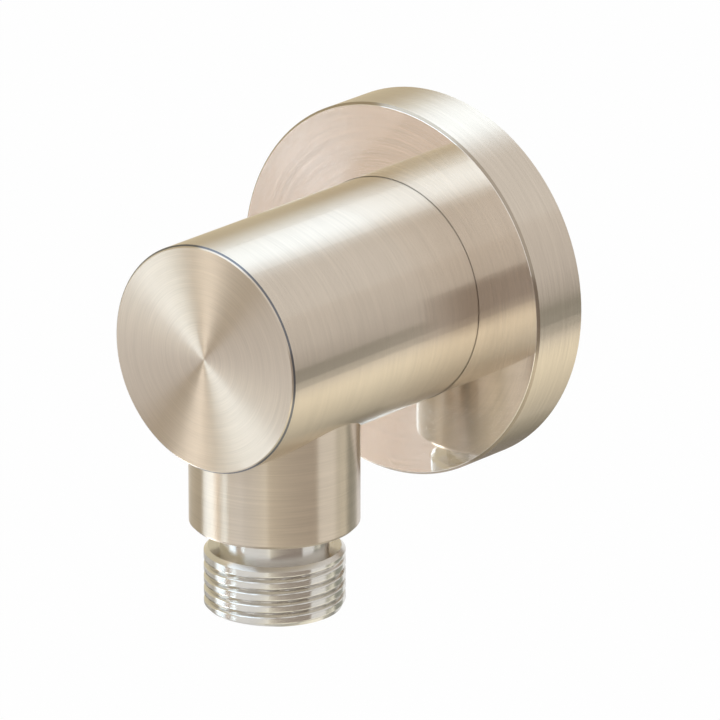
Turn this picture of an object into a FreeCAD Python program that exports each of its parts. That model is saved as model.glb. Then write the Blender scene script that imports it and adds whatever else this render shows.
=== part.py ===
import FreeCAD, Part
import math
import os
import Sketcher

# Wall outlet elbow for a hand shower hose, in millimetres.
# Frame: the origin is the centre of the flange's back face, which is the wall plane.
# +X is right when one looks at the wall, +Y goes into the wall and +Z is up.

# Driving dimensions, with what each one is. Diameters and lengths are real sizes.
DIMENSIONS = [
    ("flange_diameter", 57.0, "wall flange, over the rim"),
    ("flange_depth", 10.0, "wall flange, from the wall to its front face"),
    ("flange_front_wall", 2.2, "thickness of the flange's front"),
    ("flange_rim_wall", 3.0, "thickness of the flange's rim"),
    ("flange_edge", 0.4, "chamfer on the flange's front edge"),
    ("collar_wall", 2.6, "wall of the flange's inner collar"),
    ("collar_length", 4.6, "how far the collar stands behind the flange's front wall"),
    ("flange_clearance", 0.08, "gap between the barrel and the flange's hole, each side"),
    ("gasket_width", 1.5, "flat gasket in the flange's back, across the ring"),
    ("gasket_depth", 1.4, "thickness of the flat gasket"),
    ("barrel_diameter", 34.4, "round barrel that comes out of the wall"),
    ("barrel_reach", 52.0, "from the wall to the barrel's front face"),
    ("barrel_edge", 0.4, "chamfer on the barrel's front edge"),
    ("barrel_wall_gap", 2.0, "from the barrel's back end to the wall"),
    ("stub_diameter", 25.3, "round stub that points down"),
    ("stub_setback", 15.7, "from the barrel's front face to the stub's axis"),
    ("stub_drop", 29.2, "from the barrel's axis to the stub's lower face"),
    ("stub_edge", 0.5, "chamfer on the stub's lower edge"),
    ("waterway_diameter", 13.0, "water passage along the barrel"),
    ("drill_tip_length", 3.8, "cone at the blind end of the water passage"),
    ("pipe_thread_diameter", 20.955, "half inch pipe thread, over the crests"),
    ("thread_clearance", 0.03, "gap between a screwed thread and its bore, each side"),
    ("thread_edge", 0.6, "chamfer at each end of a thread"),
    ("pipe_thread_pitch", 1.814, "half inch pipe thread, from crest to crest"),
    ("hose_thread_depth", 0.67, "grooves of the hose thread, below its flat crests"),
    ("hose_thread_land", 1.0, "each flat crest, along the axis"),
    ("hose_thread_root", 0.12, "flat bottom of each groove"),
    ("inlet_engagement", 9.0, "inlet thread inside the barrel"),
    ("inlet_reach", 12.0, "inlet thread behind the wall plane"),
    ("inlet_collar_diameter", 24.6, "collar between the two threads of the inlet nipple"),
    ("inlet_collar_thickness", 2.5, "thickness of that collar"),
    ("inlet_seat_gap", 0.15, "gap around the collar in the barrel, each side"),
    ("inlet_runout", 1.0, "free length of bore past the inlet thread"),
    ("nipple_bore", 11.6, "water passage through both nipples"),
    ("hex_flats", 12.0, "hexagon socket, across its flats"),
    ("inlet_hex_depth", 11.0, "depth of the inlet nipple's hexagon socket"),
    ("outlet_hex_depth", 6.0, "depth of the hose nipple's hexagon socket"),
    ("neck_diameter", 16.2, "undercut between the stub and the hose thread"),
    ("neck_length", 3.7, "height of the undercut below the stub"),
    ("outlet_thread_length", 9.2, "hose thread, with its chamfers"),
    ("spigot_diameter", 20.0, "fine thread that screws the hose nipple into the stub"),
    ("spigot_recess", 0.5, "how far the spigot sits inside the stub"),
    ("spigot_length", 7.2, "length of that spigot"),
    ("spigot_runout", 0.5, "free length of bore past the spigot"),
    ("cartridge_diameter", 17.7, "non-return valve cartridge"),
    ("cartridge_clearance", 0.1, "gap around the cartridge, each side"),
    ("cartridge_length", 14.0, "height of the cartridge"),
    ("cartridge_end_gap", 0.05, "gap above the cartridge"),
    ("seat_height", 4.45, "height of the cartridge's seat ring down to its sealing face"),
    ("seat_throat", 8.8, "opening through the seat ring"),
    ("seat_funnel_diameter", 12.4, "mouth of the funnel above the throat"),
    ("seat_funnel_depth", 2.0, "depth of that funnel"),
    ("seat_skirt_height", 2.0, "skirt that centres the seat ring in the cage"),
    ("seat_skirt_wall", 0.75, "thickness of that skirt"),
    ("cage_wall", 1.55, "wall of the cage"),
    ("skirt_clearance", 0.05, "gap between the skirt and the cage, each side"),
    ("spoke_width", 1.8, "width of the cage's spokes"),
    ("spoke_height", 1.3, "height of the cage's spokes"),
    ("hub_diameter", 5.8, "bush in the middle of the cage"),
    ("hub_height", 2.6, "height of that bush"),
    ("stem_clearance", 0.08, "running gap around the poppet's stem, each side"),
    ("seal_gap", 0.05, "gap between the closed seal and its seat"),
    ("seal_thickness", 1.0, "flat rubber ring on the poppet"),
    ("seal_hole", 5.0, "hole in the flat rubber ring"),
    ("poppet_diameter", 12.0, "head of the poppet"),
    ("poppet_height", 1.5, "thickness of that head"),
    ("poppet_lip", 0.5, "how far the nose's lip holds the rubber ring"),
    ("poppet_lip_height", 0.35, "height of that lip"),
    ("poppet_nose_height", 1.8, "cone above the lip"),
    ("poppet_tip_diameter", 1.6, "flat tip of the nose"),
    ("stem_diameter", 3.0, "stem of the poppet"),
    ("stem_tail", 0.9, "stem that reaches past the bush when the valve is closed"),
    ("spring_diameter", 8.0, "coil spring, at the middle of its wire"),
    ("spring_wire", 0.5, "wire of the coil spring"),
    ("spring_gap", 0.05, "gap between the spring and what it bears on"),
    ("seal_gap_radial", 0.03, "gap on each side of a fitted rubber ring"),
    ("flange_ring_wire", 1.6, "rubber ring in the flange's collar, its section"),
    ("inlet_ring_wire", 1.8, "rubber ring under the inlet nipple's collar, its section"),
    ("spigot_ring_wire", 1.5, "rubber ring on the spigot, its section"),
    ("cartridge_ring_wire", 1.5, "rubber ring on the cartridge, its section"),
    ("groove_play", 0.5, "how much wider a groove is than its rubber ring"),
    ("groove_cover", 1.2, "metal above the groove, at the spigot's end"),
]

SPRING_TURNS = 4.5
SPRING_RUNS_PER_TURN = 8
RING_FLATS = 8
SPOKE_BARS = 2
HEX_SIDES = 6
HOSE_THREAD_TURNS = 4

document = FreeCAD.newDocument("wall_outlet_elbow")
sheet = document.addObject("Spreadsheet::Sheet", "Dimensions")
for row, (alias, value, meaning) in enumerate(DIMENSIONS, start=1):
    sheet.set(f"A{row}", alias.replace("_", " "))
    sheet.set(f"B{row}", str(value))
    sheet.setAlias(f"B{row}", alias)
    sheet.set(f"C{row}", meaning)
document.recompute()


class Size:
    """A length with the formula that it comes from, so that one value draws a shape and binds it."""

    def __init__(self, value, formula):
        self.value = float(value)
        self.formula = formula

    def __add__(self, other):
        other = as_size(other)
        return Size(self.value + other.value, f"({self.formula} + {other.formula})")

    def __sub__(self, other):
        other = as_size(other)
        return Size(self.value - other.value, f"({self.formula} - {other.formula})")

    def __mul__(self, factor):
        return Size(self.value * factor, f"({self.formula} * {factor})")

    def __truediv__(self, divisor):
        return Size(self.value / divisor, f"({self.formula} / {divisor})")


def as_size(value):
    if isinstance(value, Size):
        return value
    return Size(value, repr(float(value)))


def size(alias):
    return Size(getattr(sheet, alias), f"Dimensions.{alias}")


ZERO = Size(0.0, "0")

# Radii and places that several pieces share.
barrel_radius = size("barrel_diameter") / 2
stub_radius = size("stub_diameter") / 2
waterway_radius = size("waterway_diameter") / 2
pipe_thread_radius = size("pipe_thread_diameter") / 2
pipe_bore_radius = pipe_thread_radius + size("thread_clearance")
nipple_bore_radius = size("nipple_bore") / 2
spigot_radius = size("spigot_diameter") / 2
cartridge_radius = size("cartridge_diameter") / 2
pocket_radius = cartridge_radius + size("cartridge_clearance")
flange_hole_radius = barrel_radius + size("flange_clearance")

# Depths behind the barrel's front face.
depth_of_wall = size("barrel_reach")
depth_of_barrel_end = depth_of_wall - size("barrel_wall_gap")
depth_of_flange_front = depth_of_wall - size("flange_depth")
depth_of_inlet_ring = depth_of_barrel_end - size("inlet_collar_thickness") - size("inlet_ring_wire")
depth_of_inlet_seat = depth_of_inlet_ring - size("seal_gap_radial") * 2
depth_of_inlet_end = depth_of_inlet_seat - size("inlet_engagement")
depth_of_inlet_bore = depth_of_inlet_end - size("inlet_runout")
depth_of_waterway_end = size("stub_setback") - waterway_radius / 2

# Heights above the barrel's axis; all of them are below it.
height_of_stub_end = ZERO - size("stub_drop")
height_of_spigot_foot = height_of_stub_end + size("spigot_recess")
height_of_spigot_top = height_of_spigot_foot + size("spigot_length")
height_of_spigot_bore = height_of_spigot_top + size("spigot_runout")
height_of_cartridge_top = height_of_spigot_top + size("cartridge_length")
height_of_pocket = height_of_cartridge_top + size("cartridge_end_gap")
height_of_seat = height_of_cartridge_top - size("seat_height")
height_of_seal_top = height_of_seat - size("seal_gap")
height_of_poppet_top = height_of_seal_top - size("seal_thickness")
height_of_poppet_foot = height_of_poppet_top - size("poppet_height")
height_of_cage_foot = height_of_spigot_top
height_of_spokes = height_of_cage_foot + size("spoke_height")
height_of_hub = height_of_cage_foot + size("hub_height")
height_of_stem_foot = height_of_cage_foot - size("stem_tail")
height_of_neck_foot = height_of_stub_end - size("neck_length")
height_of_outlet_end = height_of_neck_foot - size("outlet_thread_length")

pieces = []


def new_piece(label, from_front=False, at_stub=False):
    """A body of its own. Its zero is the barrel's front face, or the barrel's axis above the stub."""
    body = document.addObject("PartDesign::Body", label)
    body.Label = label
    place_along_y(body, ZERO if from_front else size("stub_setback"))
    pieces.append(body)
    return body


def place_along_y(item, behind_front):
    depth = behind_front - size("barrel_reach")
    item.Placement = FreeCAD.Placement(FreeCAD.Vector(0, depth.value, 0), FreeCAD.Rotation())
    item.setExpression("Placement.Base.y", depth.formula)


def origin_plane(body, role):
    return next(item for item in body.Origin.OriginFeatures if item.Role == role)


def new_sketch(body, name, role):
    sketch = body.newObject("Sketcher::SketchObject", name)
    sketch.AttachmentSupport = (origin_plane(body, role), [""])
    sketch.MapMode = "FlatFace"
    return sketch


def bound(sketch, kind, references, length):
    index = sketch.addConstraint(Sketcher.Constraint(kind, *references, length.value))
    sketch.setExpression(f"Constraints[{index}]", length.formula)


def draw_outline(sketch, corners):
    """A closed outline of straight edges. Each corner is (across, along), both bound to the sheet."""
    corners = [(as_size(across), as_size(along)) for across, along in corners]
    count = len(corners)
    points = [FreeCAD.Vector(across.value, along.value, 0) for across, along in corners]
    for index in range(count):
        sketch.addGeometry(Part.LineSegment(points[index], points[(index + 1) % count]), False)
    for index in range(count):
        sketch.addConstraint(Sketcher.Constraint("Coincident", index, 2, (index + 1) % count, 1))
    for index, (across, along) in enumerate(corners):
        bound(sketch, "DistanceX", (-1, 1, index, 1), across)
        bound(sketch, "DistanceY", (-1, 1, index, 1), along)


def turned(body, name, corners, role="XZ_Plane", kind="PartDesign::Revolution"):
    """A profile of (radius, along) corners, turned about the sketch's upright axis."""
    sketch = new_sketch(body, name + "_profile", role)
    draw_outline(sketch, corners)
    feature = body.newObject(kind, name)
    feature.Profile = sketch
    feature.ReferenceAxis = (sketch, ["V_Axis"])
    feature.Angle = 360.0
    document.recompute()
    return feature


def turned_cut(body, name, corners, role="XZ_Plane"):
    before = body.Shape.Volume
    feature = turned(body, name, corners, role, "PartDesign::Groove")
    if not body.Shape.Volume < before:
        raise RuntimeError(f"{name} cuts nothing")
    return feature


def thread_grooves(body, name, role, first, count):
    """The relief of a pipe thread: flat crests with 55 degree grooves between them, ring by ring."""
    pitch = size("pipe_thread_pitch")
    half_root = size("hose_thread_root") / 2
    half_mouth = (pitch - size("hose_thread_land")) / 2
    root_radius = pipe_thread_radius - size("hose_thread_depth")
    groove = turned_cut(body, name, [
        (root_radius, first - half_root),
        (pipe_thread_radius, first - half_mouth),
        (pipe_thread_radius, first + half_mouth),
        (root_radius, first + half_root),
    ], role)
    grooves = body.newObject("PartDesign::LinearPattern", name + "s")
    grooves.Originals = [groove]
    grooves.Direction = (groove.Profile[0], ["V_Axis"])
    grooves.Mode = "Spacing"
    grooves.Offset = pitch.value
    grooves.setExpression("Offset", pitch.formula)
    grooves.Occurrences = count
    body.Tip = grooves
    before = body.Shape.Volume
    document.recompute()
    if not body.Shape.Volume < before:
        raise RuntimeError(f"{name} is not repeated")
    return grooves


def hexagon_socket(body, name, role, start, depth, reverse):
    """A six-sided socket along the axis of a turned piece, from its end face inwards."""
    socket = body.newObject("PartDesign::SubtractivePrism", name)
    socket.AttachmentSupport = (origin_plane(body, role), [""])
    socket.MapMode = "FlatFace"
    socket.MapReversed = reverse
    socket.Polygon = HEX_SIDES
    corner_radius = size("hex_flats") / (2 * math.cos(math.pi / HEX_SIDES))
    socket.setExpression("Circumradius", corner_radius.formula)
    socket.setExpression("Height", depth.formula)
    socket.setExpression("AttachmentOffset.Base.z", start.formula)
    before = body.Shape.Volume
    document.recompute()
    if not body.Shape.Volume < before:
        raise RuntimeError(f"{name} cuts nothing")
    return socket


def rubber_ring(label, inner_radius, outer_radius, middle, role):
    """A rubber ring squeezed between two round walls. Its section is round with eight flats."""
    body = new_piece(label, from_front=role == "XY_Plane")
    clearance = size("seal_gap_radial")
    inside = inner_radius + clearance
    outside = outer_radius - clearance
    half = (outside - inside) / 2
    flat = half * math.tan(math.pi / RING_FLATS)
    centre = (inside + outside) / 2
    turned(body, "ring", [
        (inside, middle - flat),
        (centre - flat, middle - half),
        (centre + flat, middle - half),
        (outside, middle - flat),
        (outside, middle + flat),
        (centre + flat, middle + half),
        (centre - flat, middle + half),
        (inside, middle + flat),
    ], role=role)
    return body


def elbow_body():
    """Barrel and stub in one machined piece, with the water passage that turns down inside."""
    body = new_piece("elbow_body", from_front=True)
    edge = size("barrel_edge")
    turned(body, "barrel", [
        (0, 0),
        (barrel_radius - edge, 0),
        (barrel_radius, edge),
        (barrel_radius, depth_of_barrel_end - edge),
        (barrel_radius - edge, depth_of_barrel_end),
        (0, depth_of_barrel_end),
    ], role="XY_Plane")

    # The stub starts at the barrel's axis and meets the barrel in a sharp line.
    edge = size("stub_edge")
    stub = body.newObject("PartDesign::AdditiveCylinder", "stub")
    stub.AttachmentSupport = (origin_plane(body, "XY_Plane"), [""])
    stub.MapMode = "FlatFace"
    stub.setExpression("Radius", stub_radius.formula)
    stub.setExpression("Height", (size("stub_drop") - edge).formula)
    stub.setExpression("AttachmentOffset.Base.y", size("stub_setback").formula)
    stub.setExpression("AttachmentOffset.Base.z", (height_of_stub_end + edge).formula)
    tip = body.newObject("PartDesign::AdditiveCone", "stub_edge")
    tip.AttachmentSupport = (origin_plane(body, "XY_Plane"), [""])
    tip.MapMode = "FlatFace"
    tip.setExpression("Radius1", (stub_radius - edge).formula)
    tip.setExpression("Radius2", stub_radius.formula)
    tip.setExpression("Height", edge.formula)
    tip.setExpression("AttachmentOffset.Base.y", size("stub_setback").formula)
    tip.setExpression("AttachmentOffset.Base.z", height_of_stub_end.formula)
    document.recompute()

    # From the back: seat for the nipple's collar, its threaded bore, then the drilled passage.
    seat_radius = size("inlet_collar_diameter") / 2 + size("inlet_seat_gap")
    turned_cut(body, "inlet_bore", [
        (0, depth_of_barrel_end),
        (seat_radius, depth_of_barrel_end),
        (seat_radius, depth_of_inlet_seat),
        (pipe_bore_radius, depth_of_inlet_seat),
        (pipe_bore_radius, depth_of_inlet_bore),
        (waterway_radius, depth_of_inlet_bore),
        (waterway_radius, depth_of_waterway_end),
        (0, depth_of_waterway_end - size("drill_tip_length")),
    ], role="XY_Plane")

    # From below: bore for the hose nipple's spigot, pocket for the valve, then up to the passage.
    drillings = [
        ("spigot_bore", spigot_radius + size("thread_clearance"), height_of_spigot_bore),
        ("valve_pocket", pocket_radius, height_of_pocket),
        ("riser", nipple_bore_radius, ZERO),
    ]
    for name, radius, top in drillings:
        bore = body.newObject("PartDesign::SubtractiveCylinder", name)
        bore.AttachmentSupport = (origin_plane(body, "XY_Plane"), [""])
        bore.MapMode = "FlatFace"
        bore.setExpression("Radius", radius.formula)
        bore.setExpression("Height", (top - height_of_stub_end).formula)
        bore.setExpression("AttachmentOffset.Base.y", size("stub_setback").formula)
        bore.setExpression("AttachmentOffset.Base.z", height_of_stub_end.formula)
        before = body.Shape.Volume
        document.recompute()
        if not body.Shape.Volume < before:
            raise RuntimeError(f"{name} cuts nothing")
    return body


def wall_flange():
    """Turned cup that hides the hole in the tiles. Its collar grips the barrel through a ring."""
    body = new_piece("wall_flange", from_front=True)
    outer = size("flange_diameter") / 2
    edge = size("flange_edge")
    rim_inside = outer - size("flange_rim_wall")
    gasket_seat = rim_inside + size("gasket_width")
    gasket_start = depth_of_wall - size("gasket_depth")
    back_of_front = depth_of_flange_front + size("flange_front_wall")
    collar_outer = flange_hole_radius + size("collar_wall")
    collar_end = back_of_front + size("collar_length")
    turned(body, "cup", [
        (flange_hole_radius, depth_of_flange_front),
        (outer - edge, depth_of_flange_front),
        (outer, depth_of_flange_front + edge),
        (outer, depth_of_wall),
        (gasket_seat, depth_of_wall),
        (gasket_seat, gasket_start),
        (rim_inside, gasket_start),
        (rim_inside, back_of_front),
        (collar_outer, back_of_front),
        (collar_outer, collar_end),
        (flange_hole_radius, collar_end),
    ], role="XY_Plane")
    wire = size("flange_ring_wire")
    groove_start = flange_ring_depth() - wire / 2 - size("groove_play") / 2
    groove_end = groove_start + wire + size("groove_play")
    groove_root = barrel_radius + wire
    turned_cut(body, "ring_groove", [
        (barrel_radius, groove_start),
        (groove_root, groove_start),
        (groove_root, groove_end),
        (barrel_radius, groove_end),
    ], role="XY_Plane")
    return body


def flange_ring_depth():
    """The rubber ring lies in the middle of the collar's length, front wall included."""
    return depth_of_flange_front + (size("flange_front_wall") + size("collar_length")) / 2


def flange_gasket():
    """Flat ring that seals the flange against the tiles."""
    body = new_piece("flange_gasket", from_front=True)
    inside = size("flange_diameter") / 2 - size("flange_rim_wall")
    outside = inside + size("gasket_width") - size("seal_gap_radial")
    start = depth_of_wall - size("gasket_depth")
    turned(body, "ring", [
        (inside, start),
        (outside, start),
        (outside, depth_of_wall),
        (inside, depth_of_wall),
    ], role="XY_Plane")
    return body


def wall_nipple():
    """Double threaded nipple: one end screws into the pipe in the wall, the other into the barrel."""
    body = new_piece("wall_nipple", from_front=True)
    edge = size("thread_edge")
    collar_radius = size("inlet_collar_diameter") / 2
    collar_start = depth_of_barrel_end - size("inlet_collar_thickness")
    end = depth_of_wall + size("inlet_reach")
    turned(body, "nipple", [
        (nipple_bore_radius, depth_of_inlet_end),
        (pipe_thread_radius - edge, depth_of_inlet_end),
        (pipe_thread_radius, depth_of_inlet_end + edge),
        (pipe_thread_radius, collar_start),
        (collar_radius, collar_start),
        (collar_radius, depth_of_barrel_end),
        (pipe_thread_radius, depth_of_barrel_end),
        (pipe_thread_radius, end - edge),
        (pipe_thread_radius - edge, end),
        (nipple_bore_radius, end),
    ], role="XY_Plane")
    # The XZ plane faces the room, so depths along it are negative.
    hexagon_socket(body, "hexagon", "XZ_Plane", ZERO - depth_of_inlet_end - size("inlet_hex_depth"),
                   size("inlet_hex_depth"), False)
    return body


def hose_nipple():
    """Polished outlet: fine-threaded spigot in the stub, undercut neck, then the hose thread."""
    body = new_piece("hose_nipple")
    edge = size("thread_edge")
    neck_radius = size("neck_diameter") / 2
    turned(body, "nipple", [
        (nipple_bore_radius, height_of_outlet_end),
        (pipe_thread_radius - edge, height_of_outlet_end),
        (pipe_thread_radius, height_of_outlet_end + edge),
        (pipe_thread_radius, height_of_neck_foot - edge),
        (pipe_thread_radius - edge, height_of_neck_foot),
        (neck_radius, height_of_neck_foot),
        (neck_radius, height_of_spigot_foot),
        (spigot_radius, height_of_spigot_foot),
        (spigot_radius, height_of_spigot_top),
        (nipple_bore_radius, height_of_spigot_top),
    ])
    wire = size("spigot_ring_wire")
    groove_start = spigot_ring_height() - wire / 2 - size("groove_play") / 2
    groove_end = groove_start + wire + size("groove_play")
    groove_root = spigot_radius + size("thread_clearance") - wire
    turned_cut(body, "ring_groove", [
        (groove_root, groove_start),
        (spigot_radius, groove_start),
        (spigot_radius, groove_end),
        (groove_root, groove_end),
    ])
    hexagon_socket(body, "hexagon", "XY_Plane", height_of_outlet_end, size("outlet_hex_depth"), False)
    thread_grooves(body, "thread_groove", "XZ_Plane",
                   height_of_outlet_end + size("pipe_thread_pitch") * 0.8, HOSE_THREAD_TURNS)
    return body


def spigot_ring_height():
    groove = size("spigot_ring_wire") + size("groove_play")
    return height_of_spigot_top - size("groove_cover") - groove / 2


def valve_seat():
    """Upper half of the valve cartridge: funnel, throat and the flat face that the seal meets."""
    body = new_piece("valve_seat")
    cage_bore = cartridge_radius - size("cage_wall")
    skirt_outer = cage_bore + size("seat_skirt_wall")
    throat = size("seat_throat") / 2
    turned(body, "ring", [
        (throat, height_of_seat),
        (cage_bore, height_of_seat),
        (cage_bore, height_of_seat - size("seat_skirt_height")),
        (skirt_outer, height_of_seat - size("seat_skirt_height")),
        (skirt_outer, height_of_seat),
        (cartridge_radius, height_of_seat),
        (cartridge_radius, height_of_cartridge_top),
        (size("seat_funnel_diameter") / 2, height_of_cartridge_top),
        (throat, height_of_cartridge_top - size("seat_funnel_depth")),
    ])
    wire = size("cartridge_ring_wire")
    groove_start = cartridge_ring_height() - wire / 2 - size("groove_play") / 2
    groove_end = groove_start + wire + size("groove_play")
    groove_root = pocket_radius - wire
    turned_cut(body, "ring_groove", [
        (groove_root, groove_start),
        (cartridge_radius, groove_start),
        (cartridge_radius, groove_end),
        (groove_root, groove_end),
    ])
    return body


def cartridge_ring_height():
    return height_of_cartridge_top - size("seat_height") / 2


def valve_cage():
    """Lower half of the cartridge: a tube with crossed spokes that carry the stem's bush."""
    body = new_piece("valve_cage")
    bore = cartridge_radius - size("cage_wall")
    step = bore + size("seat_skirt_wall") + size("skirt_clearance")
    step_height = height_of_seat - size("seat_skirt_height") - size("skirt_clearance")
    turned(body, "tube", [
        (bore, height_of_cage_foot),
        (cartridge_radius, height_of_cage_foot),
        (cartridge_radius, height_of_seat),
        (step, height_of_seat),
        (step, step_height),
        (bore, step_height),
    ])
    reach = bore + size("cage_wall") / 2
    half = size("spoke_width") / 2
    bar = new_sketch(body, "spoke_outline", "XY_Plane")
    bar.setExpression("AttachmentOffset.Base.z", height_of_cage_foot.formula)
    draw_outline(bar, [(ZERO - reach, ZERO - half), (reach, ZERO - half), (reach, half), (ZERO - reach, half)])
    spoke = body.newObject("PartDesign::Pad", "spoke")
    spoke.Profile = bar
    spoke.setExpression("Length", size("spoke_height").formula)
    document.recompute()
    spokes = body.newObject("PartDesign::PolarPattern", "spokes")
    spokes.Originals = [spoke]
    spokes.Axis = (bar, ["N_Axis"])
    spokes.Angle = 360.0 / (2 * SPOKE_BARS) * (SPOKE_BARS - 1)
    spokes.Occurrences = SPOKE_BARS
    body.Tip = spokes
    document.recompute()
    hub = body.newObject("PartDesign::AdditiveCylinder", "hub")
    hub.AttachmentSupport = (origin_plane(body, "XY_Plane"), [""])
    hub.MapMode = "FlatFace"
    hub.setExpression("Radius", (size("hub_diameter") / 2).formula)
    hub.setExpression("Height", size("hub_height").formula)
    hub.setExpression("AttachmentOffset.Base.z", height_of_cage_foot.formula)
    document.recompute()
    bush_radius = size("stem_diameter") / 2 + size("stem_clearance")
    turned_cut(body, "bush_hole", [
        (0, height_of_cage_foot),
        (bush_radius, height_of_cage_foot),
        (bush_radius, height_of_hub),
        (0, height_of_hub),
    ])
    return body


def valve_poppet():
    """Mushroom that water pushes down off its seat, with its stem in the cage's bush."""
    body = new_piece("valve_poppet")
    head = size("poppet_diameter") / 2
    stem = size("stem_diameter") / 2
    nose = size("seal_hole") / 2 - size("seal_gap_radial")
    lip = nose + size("poppet_lip")
    lip_foot = height_of_seal_top
    lip_top = lip_foot + size("poppet_lip_height")
    turned(body, "poppet", [
        (0, height_of_stem_foot),
        (stem, height_of_stem_foot),
        (stem, height_of_poppet_foot),
        (head, height_of_poppet_foot),
        (head, height_of_poppet_top),
        (nose, height_of_poppet_top),
        (nose, lip_foot),
        (lip, lip_foot),
        (lip, lip_top),
        (size("poppet_tip_diameter") / 2, lip_top + size("poppet_nose_height")),
        (0, lip_top + size("poppet_nose_height")),
    ])
    return body


def poppet_seal():
    """Flat rubber ring, stretched over the poppet's nose, that closes against the seat."""
    body = new_piece("poppet_seal")
    turned(body, "ring", [
        (size("seal_hole") / 2, height_of_poppet_top),
        (size("poppet_diameter") / 2, height_of_poppet_top),
        (size("poppet_diameter") / 2, height_of_seal_top),
        (size("seal_hole") / 2, height_of_seal_top),
    ])
    return body


def valve_spring():
    """Coil spring between the cage's spokes and the poppet's head, drawn as short straight runs."""
    radius = sheet.spring_diameter / 2
    wire_radius = sheet.spring_wire / 2
    low = height_of_spokes.value + sheet.spring_gap + wire_radius
    high = height_of_poppet_foot.value - sheet.spring_gap - wire_radius
    runs = int(SPRING_TURNS * SPRING_RUNS_PER_TURN)
    points = []
    for index in range(runs + 1):
        angle = 2 * math.pi * index / SPRING_RUNS_PER_TURN
        height = low + (high - low) * index / runs
        points.append(FreeCAD.Vector(radius * math.cos(angle), radius * math.sin(angle), height))
    route = Part.makePolygon(points)
    section = Part.Wire([Part.Circle(points[0], points[1] - points[0], wire_radius).toShape()])
    spring = document.addObject("Part::Feature", "valve_spring")
    spring.Label = "valve_spring"
    mitred_corners = 1
    spring.Shape = route.makePipeShell([section], True, False, mitred_corners)
    place_along_y(spring, size("stub_setback"))
    pieces.append(spring)
    return spring


def rubber_rings():
    """The rubber rings, each between the groove or seat that holds it and the wall it seals."""
    rubber_ring("flange_o_ring", barrel_radius, barrel_radius + size("flange_ring_wire"),
                flange_ring_depth(), "XY_Plane")
    inlet_wire = size("inlet_ring_wire")
    rubber_ring("wall_nipple_o_ring", pipe_thread_radius, pipe_thread_radius + inlet_wire,
                depth_of_inlet_ring + inlet_wire / 2 - size("seal_gap_radial"), "XY_Plane")
    spigot_bore = spigot_radius + size("thread_clearance")
    rubber_ring("hose_nipple_o_ring", spigot_bore - size("spigot_ring_wire"), spigot_bore,
                spigot_ring_height(), "XZ_Plane")
    rubber_ring("valve_o_ring", pocket_radius - size("cartridge_ring_wire"), pocket_radius,
                cartridge_ring_height(), "XZ_Plane")


elbow_body()
wall_flange()
flange_gasket()
wall_nipple()
hose_nipple()
valve_seat()
valve_cage()
valve_poppet()
poppet_seal()
valve_spring()
rubber_rings()
document.recompute()

for item in document.Objects:
    if "Invalid" in item.State or "Error" in item.State:
        raise RuntimeError(f"{item.Label} did not recompute: {item.State}")
for piece in pieces:
    if piece.Shape.isNull() or not piece.Shape.isValid() or len(piece.Shape.Solids) != 1:
        raise RuntimeError(f"{piece.Label} is not one valid solid")

os.makedirs("parts", exist_ok=True)
for piece in pieces:
    piece.Shape.exportStep(f"parts/{piece.Label}.step")
    box = piece.Shape.BoundBox
    print(f"{piece.Label:20s} {piece.Shape.Volume:10.1f} mm3   Y {box.YMin:7.2f} to {box.YMax:7.2f}"
          f"   Z {box.ZMin:7.2f} to {box.ZMax:7.2f}")
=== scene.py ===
"""Finishes, screw threads, rubber rings and studio for a round shower wall outlet."""

import math

import bmesh
import bpy
from mathutils import Matrix, Vector


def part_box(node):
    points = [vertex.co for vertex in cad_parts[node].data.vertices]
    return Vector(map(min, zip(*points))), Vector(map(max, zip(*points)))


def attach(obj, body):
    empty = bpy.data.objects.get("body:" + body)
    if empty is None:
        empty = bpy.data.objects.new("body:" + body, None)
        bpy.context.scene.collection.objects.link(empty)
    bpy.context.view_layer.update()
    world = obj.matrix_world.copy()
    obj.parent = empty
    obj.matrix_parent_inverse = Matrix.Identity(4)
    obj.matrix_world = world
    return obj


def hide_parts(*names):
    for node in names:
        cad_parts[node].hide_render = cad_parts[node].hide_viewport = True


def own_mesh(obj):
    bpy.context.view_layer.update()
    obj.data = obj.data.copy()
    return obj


bl_info = {
    "name": "Shower Wall Outlet",
    "version": (1, 0, 0),
    "blender": (4, 5, 0),
    "location": "View3D > Sidebar > Wall Outlet",
    "description": "Brushed and polished finishes, real screw threads and a studio for a wall outlet elbow",
    "category": "Object",
}

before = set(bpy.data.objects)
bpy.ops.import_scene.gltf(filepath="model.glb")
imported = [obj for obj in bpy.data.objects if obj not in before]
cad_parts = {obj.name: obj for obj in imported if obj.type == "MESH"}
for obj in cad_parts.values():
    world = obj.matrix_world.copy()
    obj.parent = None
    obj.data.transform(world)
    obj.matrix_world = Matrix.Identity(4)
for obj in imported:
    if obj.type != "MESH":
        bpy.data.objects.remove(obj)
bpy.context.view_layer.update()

MM = 0.001
FIXED_BODY = "fitting"

# Places in the shared frame, in metres. The barrel lies on the Y axis and the stub hangs from it.
STUB_AXIS_Y = sum(corner.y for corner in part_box("hose_nipple")) / 2
BARREL_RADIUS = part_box("elbow_body")[1].x
FLANGE_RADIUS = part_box("wall_flange")[1].x
FLANGE_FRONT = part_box("wall_flange")[0].y
BARREL_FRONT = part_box("elbow_body")[0].y
NIPPLE_FOOT, NIPPLE_TOP = (corner.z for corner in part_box("hose_nipple"))
INLET_FRONT, INLET_BACK = (corner.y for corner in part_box("wall_nipple"))


# Settings

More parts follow.
